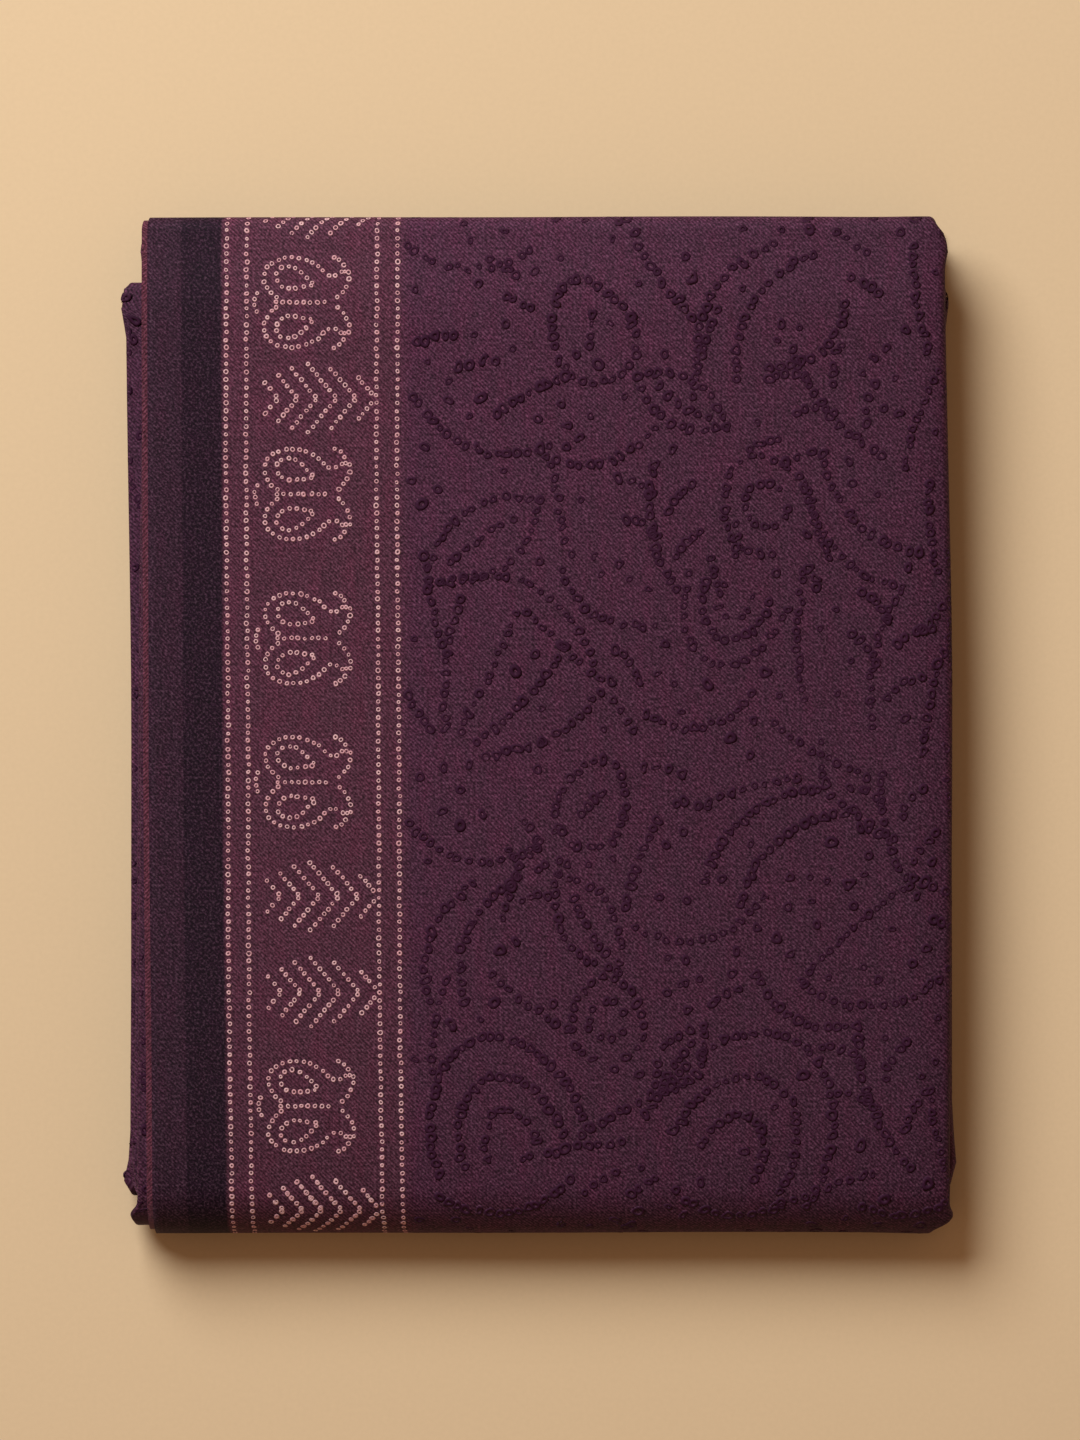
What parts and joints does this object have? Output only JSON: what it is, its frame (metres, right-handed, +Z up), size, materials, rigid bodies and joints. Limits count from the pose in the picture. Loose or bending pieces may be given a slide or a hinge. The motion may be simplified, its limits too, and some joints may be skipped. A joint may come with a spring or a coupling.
{
  "type": "folded printed dress material",
  "caption": "Cut length of printed dress cloth, folded in four along its length and then back and forth into a flat bundle with a wide soft front fold.",
  "frame": {"origin": "centre of the bounding box, on the surface that the folded cloth lies on", "axes": "+X towards the folded right edge, away from the border; +Y towards the tight back fold; +Z up, out of the printed face"},
  "size_m": [0.2796, 0.34, 0.0309],
  "materials": {
    "printed_cotton": "matt, fine twill weave, plum ground with small dark ring dots and a pale dotted border"
  },
  "bodies": {
    "root": {"cloth": "printed_cotton"}
  },
  "joints": []
}
